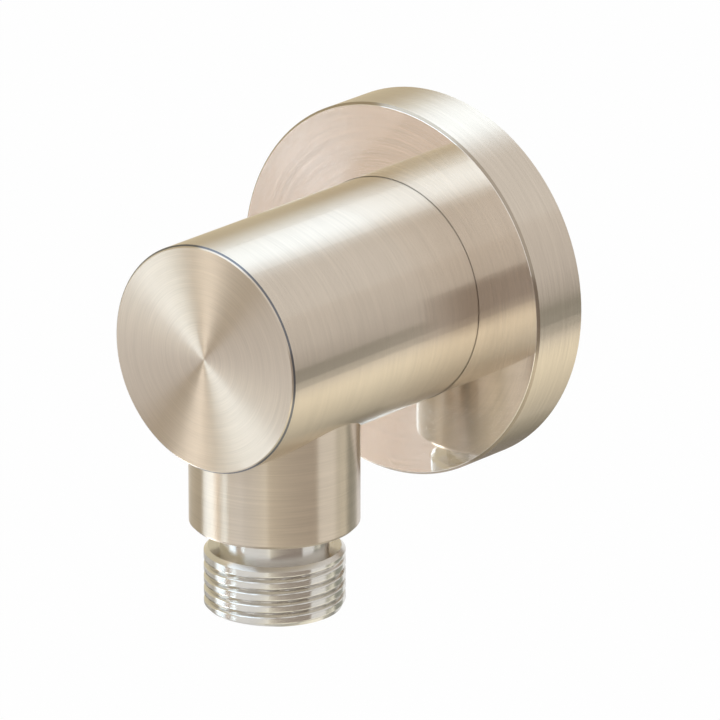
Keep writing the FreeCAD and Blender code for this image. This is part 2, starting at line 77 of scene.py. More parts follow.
class OutletFinish(bpy.types.PropertyGroup):
    """Colours and grain of the finishes."""

    nickel_colour: bpy.props.FloatVectorProperty(
        name="Brushed Nickel", description="Colour of the warm brushed nickel plate",
        default=(0.60, 0.52, 0.43), min=0, max=1, subtype="COLOR")
    polished_colour: bpy.props.FloatVectorProperty(
        name="Polished Nickel", description="Colour of the polished nickel plate on the hose nipple",
        default=(0.65, 0.625, 0.585), min=0, max=1, subtype="COLOR")
    brass_colour: bpy.props.FloatVectorProperty(
        name="Bare Brass", description="Colour of the turned brass that isn't plated",
        default=(0.72, 0.53, 0.25), min=0, max=1, subtype="COLOR")
    mirror_colour: bpy.props.FloatVectorProperty(
        name="Flange Front", description="Colour of the polished nickel on the flange's front",
        default=(0.93, 0.88, 0.83), min=0, max=1, subtype="COLOR")
    # Painted shade: the edge line is a dark colour painted on the outer part of the barrel's front chamfer,
    # and the rim line is a warmer one painted over most of the flange's front chamfer.
    chamfer_shade_colour: bpy.props.FloatVectorProperty(
        name="Chamfer Shade", description="Colour of the thin line that brushing leaves round the barrel's front",
        default=(0.17, 0.17, 0.18), min=0, max=1, subtype="COLOR")
    rim_chamfer_shade_colour: bpy.props.FloatVectorProperty(
        name="Rim Chamfer Shade", description="Colour of the warmer line round the flange's front",
        default=(0.40, 0.34, 0.27), min=0, max=1, subtype="COLOR")
    face_polish: bpy.props.FloatProperty(
        name="Flange Polish", description="Share of the flange's front that is polished between brush lines",
        default=0.80, min=0, max=1, subtype="FACTOR")
    barrel_polish: bpy.props.FloatProperty(
        name="Barrel Polish", description="Share of the barrel that is polished between the brush lines",
        default=0.10, min=0, max=1, subtype="FACTOR")
    brush_pitch: bpy.props.FloatProperty(
        name="Brush Pitch", description="Distance between two brush lines",
        default=0.00016, min=0.00002, max=0.001, unit="LENGTH", precision=5)
    brush_length: bpy.props.FloatProperty(
        name="Brush Length", description="How far one brush line runs round the turned face",
        default=0.009, min=0.001, max=0.05, unit="LENGTH", precision=4)
    brush_depth: bpy.props.FloatProperty(
        name="Brush Strength", description="How strongly the brush lines show",
        default=0.10, min=0, max=1, subtype="FACTOR")


class OutletThread(bpy.types.PropertyGroup):
    """The half inch pipe thread of both nipples, and the fine thread that holds the hose nipple."""

    crest_diameter: bpy.props.FloatProperty(
        name="Crest Diameter", description="Half inch pipe thread over its crests",
        default=0.020955, min=0.01, max=0.05, unit="LENGTH", precision=5)
    pitch: bpy.props.FloatProperty(
        name="Pitch", description="Half inch pipe thread, fourteen turns to the inch",
        default=0.0254 / 14, min=0.0005, max=0.004, unit="LENGTH", precision=5)
    fine_pitch: bpy.props.FloatProperty(
        name="Fine Pitch", description="Thread of the spigot inside the stub",
        default=0.001, min=0.0005, max=0.002, unit="LENGTH", precision=5)
    rows: bpy.props.IntProperty(
        name="Rows per Turn", description="Rows of faces along one pitch",
        default=20, min=8, max=40)
    sides: bpy.props.IntProperty(
        name="Sides", description="Faces around a nipple; a multiple of six keeps its hexagon sharp",
        default=120, min=48, max=192)


class OutletSpring(bpy.types.PropertyGroup):
    """The small coil spring of the non-return valve."""

    wire: bpy.props.FloatProperty(
        name="Wire", description="Thickness of the spring's wire",
        default=0.0005, min=0.0002, max=0.001, unit="LENGTH", precision=5)
    coil_diameter: bpy.props.FloatProperty(
        name="Coil Diameter", description="Spring at the middle of its wire",
        default=0.008, min=0.004, max=0.01, unit="LENGTH", precision=4)
    turns: bpy.props.FloatProperty(
        name="Turns", description="Turns of wire, with the closed turn at each end",
        default=5.5, min=3, max=9)
    pressed: bpy.props.FloatProperty(
        name="Pressed Height", description="Share of the spring's height left when the valve is open",
        default=0.55, min=0.3, max=1, subtype="FACTOR")


class OutletStudio(bpy.types.PropertyGroup):
    """Camera, floor and lamps."""

    azimuth: bpy.props.FloatProperty(
        name="Camera Azimuth", description="Angle from straight in front of the wall towards the right",
        default=math.radians(39.97), subtype="ANGLE")
    elevation: bpy.props.FloatProperty(
        name="Camera Elevation", description="Angle above the horizon",
        default=math.radians(19.05), subtype="ANGLE")
    distance: bpy.props.FloatProperty(
        name="Camera Distance", description="From the camera to the point that it looks at",
        default=1.3437, min=0.2, max=5, unit="LENGTH")
    focal_pixels: bpy.props.FloatProperty(
        name="Focal Length", description="Focal length in pixels of a picture 720 pixels wide",
        default=9097.7)
    floor_drop: bpy.props.FloatProperty(
        name="Floor Drop", description="From the frame's origin down to the floor",
        default=1.9, min=0.05, max=3, unit="LENGTH")
    daylight: bpy.props.FloatProperty(
        name="Surroundings", description="Strength of the light that the white surroundings give",
        default=0.8, min=0, max=1, subtype="FACTOR")


# Node helpers. A Mix node has sockets for every kind of data; these are the places of two kinds.

MIX_COLOURS, MIXED_COLOUR = (6, 7), 2
MIX_VECTORS, MIXED_VECTOR = (4, 5), 1


def new_material(name, colour, roughness, metallic=0.0):
    """A material with its plain values on the shader's own sockets; returns it with its tree and shader."""
    material = bpy.data.materials.new(name)
    material.use_nodes = True
    tree = material.node_tree
    shader = next(node for node in tree.nodes if node.type == "BSDF_PRINCIPLED")
    shader.inputs["Base Color"].default_value = (*colour, 1)
    shader.inputs["Roughness"].default_value = roughness
    shader.inputs["Metallic"].default_value = metallic
    return material, tree, shader


def feed(tree, socket, value):
    """Link an output to a socket, or set a plain value on it."""
    if isinstance(value, bpy.types.NodeSocket):
        tree.links.new(value, socket)
    elif value is not None:
        socket.default_value = value


def maths(tree, operation, first, second=None):
    node = tree.nodes.new("ShaderNodeMath")
    node.operation = operation
    feed(tree, node.inputs[0], first)
    feed(tree, node.inputs[1], second)
    return node.outputs[0]


def blended(tree, share, first, second):
    """The first value where the share is nought, the second where it is one."""
    return maths(tree, "ADD", maths(tree, "MULTIPLY", first, maths(tree, "SUBTRACT", 1.0, share)),
                 maths(tree, "MULTIPLY", second, share))


def vectors(tree, operation, first, second=None):
    node = tree.nodes.new("ShaderNodeVectorMath")
    node.operation = operation
    feed(tree, node.inputs[0], first)
    feed(tree, node.inputs[1], second)
    return node.outputs["Value" if operation in ("LENGTH", "DOT_PRODUCT") else "Vector"]


def combined(tree, x, y, z):
    node = tree.nodes.new("ShaderNodeCombineXYZ")
    for socket, value in zip(node.inputs, (x, y, z)):
        feed(tree, socket, value)
    return node.outputs[0]


def separated(tree, vector):
    node = tree.nodes.new("ShaderNodeSeparateXYZ")
    feed(tree, node.inputs[0], vector)
    return node.outputs


def noise(tree, vector, scale=1.0, detail=2.0, roughness=0.5):
    node = tree.nodes.new("ShaderNodeTexNoise")
    feed(tree, node.inputs["Vector"], vector)
    node.inputs["Scale"].default_value = scale
    node.inputs["Detail"].default_value = detail
    node.inputs["Roughness"].default_value = roughness
    return node.outputs["Fac"]


def ranged(tree, value, low, high, to_low, to_high):
    node = tree.nodes.new("ShaderNodeMapRange")
    for socket, number in zip(node.inputs, (value, low, high, to_low, to_high)):
        feed(tree, socket, number)
    return node.outputs[0]


def mixed_colour(tree, factor, first, second, blend="MIX"):
    node = tree.nodes.new("ShaderNodeMix")
    node.data_type = "RGBA"
    node.blend_type = blend
    feed(tree, node.inputs[0], factor)
    for socket, value in zip(MIX_COLOURS, (first, second)):
        feed(tree, node.inputs[socket], (*value, 1) if isinstance(value, tuple) else value)
    return node.outputs[MIXED_COLOUR]


def mixed_vector(tree, factor, first, second):
    node = tree.nodes.new("ShaderNodeMix")
    node.data_type = "VECTOR"
    feed(tree, node.inputs[0], factor)
    for socket, value in zip(MIX_VECTORS, (first, second)):
        feed(tree, node.inputs[socket], value)
    return node.outputs[MIXED_VECTOR]


def bump(tree, shader, height, strength, distance):
    node = tree.nodes.new("ShaderNodeBump")
    node.inputs["Strength"].default_value = strength
    node.inputs["Distance"].default_value = distance
    feed(tree, node.inputs["Height"], height)
    tree.links.new(node.outputs["Normal"], shader.inputs["Normal"])


def shade(colour, factor):
    return tuple(min(1.0, channel * factor) for channel in colour)


# Turned metal: brush and tool lines run round an axis. Lengths are in metres.

EDGE = 0.0004  # chamfer round the front of the barrel and of the flange
BARREL_SKIN = 0.00005  # the barrel's wall is what lies no deeper than this below its radius
STUB_START = 0.00003  # what stands out of the barrel by more than this is the stub
FACE_SKIN = 0.00004  # the flange's face is what lies no deeper than this behind its front
FRONT_WALL = 0.005  # metal between the barrel's front and its bore
BORE_RADIUS = 0.0128  # behind that wall, all that is nearer to the barrel's axis is bored
STUB_BORE_RADIUS = 0.0101
STUB_BORE_TOP = -0.0002
POLISH_PITCH = 0.00003  # from one of the finest lines to the next, with polished metal between
POLISH_ROUGHNESS = 0.035
LINE_HEIGHT = 0.000012
LINE_TONE = 0.65  # how far the lines turn lighter and darker, as a share of their strength


def place(tree):
    return tree.nodes.new("ShaderNodeTexCoord").outputs["Object"]


def round_axis(tree, point, axis, centre=(0, 0, 0)):
    """Where a point lies on a piece turned about an axis: the pattern's vector, the direction round the axis
    and the distance from it. The pattern runs round the axis on turned walls and on flat faces alike."""
    local = vectors(tree, "SUBTRACT", point, centre)
    x, y, z = separated(tree, local)
    if axis == "Y":
        radial, along, direction = combined(tree, x, 0.0, z), y, (0, 1, 0)
    else:
        radial, along, direction = combined(tree, x, y, 0.0), z, (0, 0, 1)
    distance = vectors(tree, "LENGTH", radial)
    across = maths(tree, "ADD", along, distance)
    pattern = combined(tree, x, across, z) if axis == "Y" else combined(tree, x, y, across)
    return pattern, vectors(tree, "CROSS_PRODUCT", direction, local), distance


def stretched(tree, pattern, axis, across, along):
    """A pattern's vector with one scale across the lines that run round an axis and one along them."""
    scales = (along, across, along) if axis == "Y" else (along, along, across)
    return vectors(tree, "MULTIPLY", pattern, scales)


def scratched(tree, pattern, axis, pitch, length):
    """Fine lines of one pitch across and one length along, with broader ones under them."""
    lines = noise(tree, stretched(tree, pattern, axis, 1 / pitch, 1 / length), detail=3.0, roughness=0.6)
    bands = noise(tree, stretched(tree, pattern, axis, 0.22 / pitch, 0.6 / length), detail=2.0)
    return maths(tree, "ADD", maths(tree, "MULTIPLY", lines, 0.7), maths(tree, "MULTIPLY", bands, 0.3))


def polished_between(tree, pattern, axis, share):
    """One where the metal between the finest brush lines is polished, over a share of the surface."""
    wander = noise(tree, stretched(tree, pattern, axis, 900, 90))
    across = separated(tree, pattern)[1 if axis == "Y" else 2]
    count = maths(tree, "ADD", maths(tree, "DIVIDE", across, POLISH_PITCH),
                  maths(tree, "MULTIPLY", wander, 8.0))
    return maths(tree, "LESS_THAN", maths(tree, "FRACT", count), share)


def painted_chamfer_shade(tree, depth, front, distance, radius, start):
    """One on the outer part of the fine chamfer round a front edge, where a dark colour is painted as shade.
    """
    across = ranged(tree, depth, front, front + EDGE, 0.0, 1.0)
    on_chamfer = maths(tree, "MULTIPLY", maths(tree, "GREATER_THAN", across, start),
                       maths(tree, "LESS_THAN", across, 0.98))
    return maths(tree, "MULTIPLY", on_chamfer, maths(tree, "GREATER_THAN", distance, radius - 1.25 * EDGE))


def finish_metal(tree, shader, colour, lines, roundabout, roughness, anisotropy, line_strength,
                 polish=None, relief=1.0):
    """Lines in colour and height, and a gloss that spreads across them and is sharper where polished."""
    spread = LINE_TONE * line_strength
    pale = ranged(tree, lines, 0.35, 0.65, 1 - spread, 1 + spread)
    tint = combined(tree, pale, pale, pale)
    feed(tree, shader.inputs["Base Color"], mixed_colour(tree, 1.0, colour, tint, "MULTIPLY"))
    if polish is None:
        shader.inputs["Roughness"].default_value = roughness
    else:
        feed(tree, shader.inputs["Roughness"], ranged(tree, polish, 0.0, 1.0, roughness, POLISH_ROUGHNESS))
    bump(tree, shader, lines, line_strength * relief, LINE_HEIGHT)
    quarter_turn = 0.25
    shader.inputs["Anisotropic"].default_value = anisotropy
    shader.inputs["Anisotropic Rotation"].default_value = quarter_turn
    feed(tree, shader.inputs["Tangent"], roundabout)


def brushed_body_metal(finish):
    """Brushed nickel round the barrel and the stub, with shade painted on the outer part of the barrel's
    front chamfer;
    the bores inside are bare turned brass.
    """
    colour = tuple(finish.nickel_colour)
    material, tree, shader = new_material("brushed_nickel_body", colour, 0.3, 1.0)
    point = place(tree)
    barrel, round_barrel, from_barrel = round_axis(tree, point, "Y")
    stub, round_stub, from_stub = round_axis(tree, point, "Z", (0, STUB_AXIS_Y, 0))
    on_stub = maths(tree, "GREATER_THAN", from_barrel, BARREL_RADIUS + STUB_START)
    barrel_lines = scratched(tree, barrel, "Y", finish.brush_pitch, finish.brush_length)
    stub_lines = scratched(tree, stub, "Z", finish.brush_pitch * 1.6, finish.brush_length * 1.3)
    lines = blended(tree, on_stub, barrel_lines, stub_lines)
    roundabout = mixed_vector(tree, on_stub, round_barrel, round_stub)
    _, depth, height = separated(tree, point)
    in_waterway = maths(tree, "MULTIPLY", maths(tree, "GREATER_THAN", depth, BARREL_FRONT + FRONT_WALL),
                        maths(tree, "LESS_THAN", from_barrel, BORE_RADIUS))
    in_stub = maths(tree, "MULTIPLY", maths(tree, "LESS_THAN", from_stub, STUB_BORE_RADIUS),
                    maths(tree, "LESS_THAN", height, STUB_BORE_TOP))
    bare = maths(tree, "MAXIMUM", in_waterway, in_stub)
    tone = mixed_colour(tree, bare, colour, tuple(finish.brass_colour))
    # Painted shade: the outer part of the barrel's front chamfer takes the dark chamfer shade colour.
    line = painted_chamfer_shade(tree, depth, BARREL_FRONT, from_barrel, BARREL_RADIUS, start=0.42)
    tone = mixed_colour(tree, line, tone, tuple(finish.chamfer_shade_colour))
    on_wall = maths(tree, "MULTIPLY", maths(tree, "GREATER_THAN", from_barrel, BARREL_RADIUS - BARREL_SKIN),
                    maths(tree, "SUBTRACT", 1.0, on_stub))
    polish = polished_between(tree, barrel, "Y", maths(tree, "MULTIPLY", on_wall, finish.barrel_polish))
    finish_metal(tree, shader, tone, lines, roundabout, roughness=0.29, anisotropy=0.97,
                 line_strength=finish.brush_depth, polish=polish, relief=0.6)
    return material


def brushed_flange_metal(finish):
    """Brushed nickel on the rim, a front polished so far that it mirrors the barrel between its fine lines,
    shade painted on its front chamfer, and coarser tool lines and a darker colour in the hollow back."""
    colour = tuple(finish.nickel_colour)
    material, tree, shader = new_material("brushed_nickel_flange", colour, 0.3, 1.0)
    point = place(tree)
    pattern, roundabout, from_axis = round_axis(tree, point, "Y")
    depth = separated(tree, point)[1]
    hidden = maths(tree, "MULTIPLY", maths(tree, "GREATER_THAN", depth, FLANGE_FRONT + 1.25 * EDGE),
                   maths(tree, "LESS_THAN", from_axis, FLANGE_RADIUS - 0.75 * EDGE))
    fine = scratched(tree, pattern, "Y", finish.brush_pitch, finish.brush_length)
    coarse = scratched(tree, pattern, "Y", finish.brush_pitch * 2.5, finish.brush_length * 3)
    lines = blended(tree, hidden, fine, coarse)
    on_face = maths(tree, "LESS_THAN", depth, FLANGE_FRONT + FACE_SKIN)
    # The hollow back is darker.
    tone = mixed_colour(tree, hidden, colour, shade(colour, 0.82))
    tone = mixed_colour(tree, on_face, tone, tuple(finish.mirror_colour))
    # Painted shade: most of the flange's front chamfer takes the warmer chamfer shade colour.
    line = painted_chamfer_shade(tree, depth, FLANGE_FRONT, from_axis, FLANGE_RADIUS, start=0.12)
    tone = mixed_colour(tree, line, tone, tuple(finish.rim_chamfer_shade_colour))
    polish = polished_between(tree, pattern, "Y", maths(tree, "MULTIPLY", on_face, finish.face_polish))
    finish_metal(tree, shader, tone, lines, roundabout, roughness=0.26, anisotropy=0.97,
                 line_strength=finish.brush_depth, polish=polish, relief=0.2)
    return material


def polished_metal(finish):
    """Polished nickel with the faintest lines from turning, round the hose nipple's axis."""
    colour = tuple(finish.polished_colour)
    material, tree, shader = new_material("polished_nickel", colour, 0.09, 1.0)
    pattern, roundabout, _ = round_axis(tree, place(tree), "Z", (0, STUB_AXIS_Y, 0))
    lines = scratched(tree, pattern, "Z", pitch=0.00025, length=0.02)
    finish_metal(tree, shader, colour, lines, roundabout, roughness=0.2, anisotropy=0.93, line_strength=0.05)
    return material


def bare_brass(finish):
    """Turned brass that isn't plated, a little darker where it has been handled."""
    colour = tuple(finish.brass_colour)
    material, tree, shader = new_material("plain_brass", colour, 0.25, 1.0)
    point = place(tree)
    pattern, roundabout, _ = round_axis(tree, point, "Y")
    lines = scratched(tree, pattern, "Y", pitch=0.0002, length=0.03)
    patina = ranged(tree, noise(tree, point, 180.0, 3.0), 0.35, 0.7, 0.0, 1.0)
    aged = mixed_colour(tree, patina, colour, shade(colour, 0.8))
    finish_metal(tree, shader, aged, lines, roundabout, roughness=0.24, anisotropy=0.7, line_strength=0.12)
    return material


def spring_steel():
    """Drawn stainless wire with fine die marks."""
    colour = (0.60, 0.60, 0.60)
    material, tree, shader = new_material("spring_steel", colour, 0.22, 1.0)
    marks = noise(tree, vectors(tree, "MULTIPLY", place(tree), (1500, 1500, 9000)), detail=2.0)
    feed(tree, shader.inputs["Roughness"], ranged(tree, marks, 0.3, 0.7, 0.16, 0.3))
    feed(tree, shader.inputs["Base Color"], mixed_colour(tree, marks, colour, shade(colour, 0.85)))
    bump(tree, shader, marks, 0.2, 0.00001)
    return material


def moulded(name, colour, roughness, grain_scale, grain_strength, spread=0.0):
    """Moulded rubber or plastic: a fine matt grain, soft clouding and slight wear."""
    material, tree, shader = new_material(name, colour, roughness)
    point = place(tree)
    grain = noise(tree, point, grain_scale, 3.0, 0.6)
    clouds = noise(tree, point, 220.0, 2.0)
    feed(tree, shader.inputs["Base Color"],
         mixed_colour(tree, ranged(tree, clouds, 0.35, 0.65, 0.0, 1.0), colour, shade(colour, 0.88)))
    feed(tree, shader.inputs["Roughness"], ranged(tree, grain, 0.3, 0.7, roughness * 0.85, roughness * 1.15))
    bump(tree, shader, grain, grain_strength, 0.00003)
    if spread:
        shader.inputs["Subsurface Weight"].default_value = spread
        shader.inputs["Subsurface Scale"].default_value = 0.0006
    return material


def foam_rubber():
    """Closed-cell foam: rounded cells a third of a millimetre wide."""
    colour = (0.045, 0.045, 0.047)
    material, tree, shader = new_material("foam_gasket", colour, 0.8)
    cells = tree.nodes.new("ShaderNodeTexVoronoi")
    feed(tree, cells.inputs["Vector"], place(tree))
    cells.inputs["Scale"].default_value = 3200.0
    depth = ranged(tree, cells.outputs["Distance"], 0.0, 0.7, 0.0, 1.0)
    # Painted shade: each cell's colour is darker towards its pitted middle and lighter on its walls.
    feed(tree, shader.inputs["Base Color"], mixed_colour(tree, depth, shade(colour, 0.6), shade(colour, 1.5)))
    feed(tree, shader.inputs["Roughness"], ranged(tree, depth, 0, 1, 0.7, 0.9))
    bump(tree, shader, depth, 0.6, 0.00008)
    return material


def cover(piece, material):
    piece.data.materials.clear()
    piece.data.materials.append(material)


def cover_node(node, material):
    """Give a CAD node a better material through its object's slots."""
    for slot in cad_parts[node].material_slots:
        slot.material = material


# Modelling helpers

HAIR = 0.001  # in millimetres, for heights that are meant to be equal
MERGE_DISTANCE = 0.000002  # in metres


def deselect_all():
    if bpy.context.object and bpy.context.object.mode != "OBJECT":
        bpy.ops.object.mode_set(mode="OBJECT")
    bpy.ops.object.select_all(action="DESELECT")


def turned_blank(name, outline, sides):
    """Turn a closed half section, given as (radius, height) in millimetres, about the Z axis."""
    deselect_all()
    radius, height = outline[0]
    bpy.ops.mesh.primitive_circle_add(vertices=sides, radius=radius * MM, location=(0, 0, height * MM))
    piece = bpy.context.object
    piece.name = piece.data.name = name
    bpy.ops.object.transform_apply(location=True, rotation=True, scale=True)
    bpy.ops.object.mode_set(mode="EDIT")
    bpy.ops.mesh.select_mode(type="VERT")
    bpy.ops.mesh.select_all(action="SELECT")
    for next_radius, next_height in outline[1:]:
        bpy.ops.mesh.extrude_region_move(
            TRANSFORM_OT_translate={"value": (0, 0, (next_height - height) * MM)})
        ratio = next_radius / radius
        bpy.ops.transform.resize(value=(ratio, ratio, 1), center_override=(0, 0, next_height * MM))
        radius, height = next_radius, next_height
    bpy.ops.mesh.select_mode(type="EDGE")
    bpy.ops.mesh.select_all(action="DESELECT")
    mesh = bmesh.from_edit_mesh(piece.data)
    for edge in mesh.edges:
        edge.select_set(edge.is_boundary)
    bmesh.update_edit_mesh(piece.data)
    bpy.ops.mesh.bridge_edge_loops()
    bpy.ops.mesh.select_all(action="SELECT")
    bpy.ops.mesh.normals_make_consistent(inside=False)
    bpy.ops.object.mode_set(mode="OBJECT")
    return piece


def cut_rows(piece, radius, low, high, rows):
    """Cut rows of faces across the wall that stands at one radius between two heights, in millimetres."""
    bpy.ops.object.mode_set(mode="EDIT")
    bpy.ops.mesh.select_mode(type="EDGE")
    bpy.ops.mesh.select_all(action="DESELECT")
    mesh = bmesh.from_edit_mesh(piece.data)
    near = 0.01 * MM
    for edge in mesh.edges:
        ends = [(math.hypot(v.co.x, v.co.y), v.co.z) for v in edge.verts]
        heights = sorted(z for _, z in ends)
        upright = abs(heights[0] - low * MM) < near and abs(heights[1] - high * MM) < near
        edge.select_set(upright and all(abs(r - radius * MM) < near for r, _ in ends))
    bmesh.update_edit_mesh(piece.data)
    bpy.ops.mesh.subdivide_edgering(number_cuts=rows, interpolation="LINEAR", smoothness=0)
    bpy.ops.object.mode_set(mode="OBJECT")


def eased(value, rounding):
    """Nothing below zero and the value itself above it, with a round turn between."""
    if abs(value) >= rounding:
        return max(0.0, value)
    return (value + rounding) ** 2 / (4 * rounding)


def thread_depth(offset, pitch):
    """Depth below the flat crest of a 55 degree thread, at an offset from the crest's middle."""
    slope = 1 / math.tan(math.radians(55 / 2))
    land, full = 0.551 * pitch, 0.369 * pitch
    crest_rounding, root_rounding = 0.11 * pitch, 0.08 * pitch
    depth = eased((abs(offset) - land / 2) * slope, crest_rounding)
    return full - eased(full - depth, root_rounding)


def share_cut(turns):
    """Share of a thread's depth that is cut near its end, which runs out over a third of a turn."""
    return min(1, max(0, 3 * turns + 0.5))


def cut_thread(piece, crest, low, high, pitch, first, last):
    """Cut a right-handed thread into the wall between two heights, in millimetres. The middle of its groove
    comes over the X axis at the first height, and the last height is where it runs out."""
    chamfers = 0.7
    for vertex in piece.data.vertices:
        radius, height = math.hypot(vertex.co.x, vertex.co.y) / MM, vertex.co.z / MM
        if radius < crest - chamfers or not low - HAIR <= height <= high + HAIR:
            continue
        turn = math.atan2(vertex.co.y, vertex.co.x) / (2 * math.pi)
        groove = round((height - first) / pitch - turn) + turn
        depth = thread_depth((0.5 - abs((height - first) / pitch - groove)) * pitch, pitch)
        depth *= share_cut(groove) * share_cut((last - first) / pitch - groove)
        new_radius = min(radius, crest - depth)
        vertex.co.x *= new_radius / radius
        vertex.co.y *= new_radius / radius


def cut_hexagon(piece, flats, low, high):
    """Push the bore's wall between two heights out to a hexagon, with its corners on the X axis."""
    for vertex in piece.data.vertices:
        radius, height = math.hypot(vertex.co.x, vertex.co.y) / MM, vertex.co.z / MM
        if radius < flats * 0.62 and low - HAIR <= height <= high + HAIR:
            angle = math.degrees(math.atan2(vertex.co.y, vertex.co.x)) % 60 - 30
            wall = flats / 2 / math.cos(math.radians(angle))
            vertex.co.x *= wall / radius
            vertex.co.y *= wall / radius


def finished(piece, body, material, replaced, location=(0, 0, 0), rotation=(0, 0, 0), smooth=30):
    """Put a piece in place in its mesh, smooth it, give it its material, hang it on the body it rides on and
    hide the nodes that it stands for.
    """
    deselect_all()
    piece.select_set(True)
    bpy.context.view_layer.objects.active = piece
    piece.location = location
    piece.rotation_euler = rotation
    bpy.ops.object.transform_apply(location=True, rotation=True, scale=True)
    bpy.ops.object.mode_set(mode="EDIT")
    bpy.ops.mesh.select_all(action="SELECT")
    bpy.ops.mesh.remove_doubles(threshold=MERGE_DISTANCE)
    bpy.ops.mesh.normals_make_consistent(inside=False)
    bpy.ops.object.mode_set(mode="OBJECT")
    bpy.ops.object.shade_smooth_by_angle(angle=math.radians(smooth))
    cover(piece, material)
    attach(piece, body)
    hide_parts(*replaced)


# Pieces, with the sizes of the two nipples in millimetres

HEXAGON = 12.0  # both sockets, across the flats


class OUTLET_OT_brushed_shell(bpy.types.Operator):
    """Brush the elbow's body and the wall flange"""

    bl_idname = "outlet.brushed_shell"
    bl_label = "Brushed Body and Flange"

    def execute(self, context):
        finish = context.scene.outlet_finish
        cover_node("elbow_body", brushed_body_metal(finish))
        cover_node("wall_flange", brushed_flange_metal(finish))
        return {"FINISHED"}


class OUTLET_OT_hose_nipple(bpy.types.Operator):
    """Turn the polished hose nipple and cut its threads and hexagon socket"""

    bl_idname = "outlet.hose_nipple"
    bl_label = "Hose Nipple"

    def execute(self, context):
        thread = context.scene.outlet_thread
        crest = thread.crest_diameter / MM / 2
        pitch, fine, fine_rows = thread.pitch / MM, thread.fine_pitch / MM, 12
        bore, spigot, neck, groove, socket_wall, mouth = 5.8, 10.0, 8.1, 8.53, 6.85, 7.35
        foot, top = NIPPLE_FOOT / MM, NIPPLE_TOP / MM
        shoulder, neck_top, socket = foot + 9.2, foot + 13.4, foot + 6.0
        groove_low, groove_high = top - 3.2, top - 1.2
        low, high = foot + 0.5, shoulder - 0.6
        outline = [
            (bore, socket), (bore, top - 0.35), (6.15, top), (9.7, top), (spigot, top - 0.3),
            (spigot, groove_high), (groove, groove_high), (groove, groove_low), (spigot, groove_low),
            (spigot, neck_top + 0.3), (9.7, neck_top), (neck, neck_top), (neck, shoulder),
            (crest - 0.6, shoulder), (crest, high), (crest, low), (crest - 0.5, foot), (mouth, foot),
            (socket_wall, foot + 0.4), (socket_wall, socket)]
        piece = turned_blank("hose_nipple_threaded", outline, thread.sides)
        cut_rows(piece, crest, low, high, int((high - low) / pitch * thread.rows))
        cut_rows(piece, spigot, neck_top + 0.3, groove_low, int((groove_low - neck_top) / fine * fine_rows))
        cut_thread(piece, crest, foot, shoulder, pitch, foot - 0.8 * pitch, shoulder - 1.4)
        cut_thread(piece, spigot, neck_top, groove_low, fine, neck_top + 0.8, groove_low - 0.8)
        cut_hexagon(piece, HEXAGON, foot + 0.35, socket)
        finished(piece, FIXED_BODY, polished_metal(context.scene.outlet_finish),
                 ["hose_nipple"], location=(0, STUB_AXIS_Y, 0))
        return {"FINISHED"}


class OUTLET_OT_wall_nipple(bpy.types.Operator):
    """Turn the brass inlet nipple and cut its two threads and hexagon socket"""

    bl_idname = "outlet.wall_nipple"
    bl_label = "Wall Nipple"

    def execute(self, context):
        thread = context.scene.outlet_thread
        crest = thread.crest_diameter / MM / 2
        pitch = thread.pitch / MM
        front, back = INLET_FRONT / MM, INLET_BACK / MM
        socket = front + 11.0
        collar, collar_low, collar_high = 12.3, -4.5, -2.0
        bore, socket_wall, mouth, chamfer, run_out = 5.8, 6.85, 7.35, 0.6, 1.4
        outline = [
            (bore, socket), (bore, back - 0.5), (6.3, back), (crest - chamfer, back), (crest, back - chamfer),
            (crest, collar_high), (collar - 0.4, collar_high), (collar, collar_high - 0.4),
            (collar, collar_low), (crest, collar_low), (crest, front + chamfer), (crest - chamfer, front),
            (mouth, front), (socket_wall, front + 0.4), (socket_wall, socket)]
        less_seen = 0.8
        piece = turned_blank("wall_nipple_threaded", outline, int(thread.sides * less_seen))
        rows = thread.rows * less_seen / pitch
        cut_rows(piece, crest, collar_high, back - chamfer, int((back - chamfer - collar_high) * rows))
        cut_rows(piece, crest, front + chamfer, collar_low, int((collar_low - front - chamfer) * rows))
        cut_thread(piece, crest, collar_high, back, pitch, collar_high + run_out, back + pitch)
        cut_thread(piece, crest, front, collar_low, pitch, front - pitch, collar_low - run_out)
        cut_hexagon(piece, HEXAGON, front + 0.35, socket)
        finished(piece, FIXED_BODY, bare_brass(context.scene.outlet_finish),
                 ["wall_nipple"], rotation=(math.radians(-90), 0, 0))
        return {"FINISHED"}


class OUTLET_OT_rubber_rings(bpy.types.Operator):
    """Mould the four round rubber rings and give the flat gasket its foam"""

    bl_idname = "outlet.rubber_rings"
    bl_label = "Rubber Rings"

    def execute(self, context):
        rubber = moulded("black_rubber", (0.028, 0.028, 0.03), 0.55, 5200.0, 0.25)
        for node in ("flange_o_ring", "wall_nipple_o_ring", "hose_nipple_o_ring", "valve_o_ring"):
            round_ring(node, rubber)
        cover_node("flange_gasket", foam_rubber())
        return {"FINISHED"}


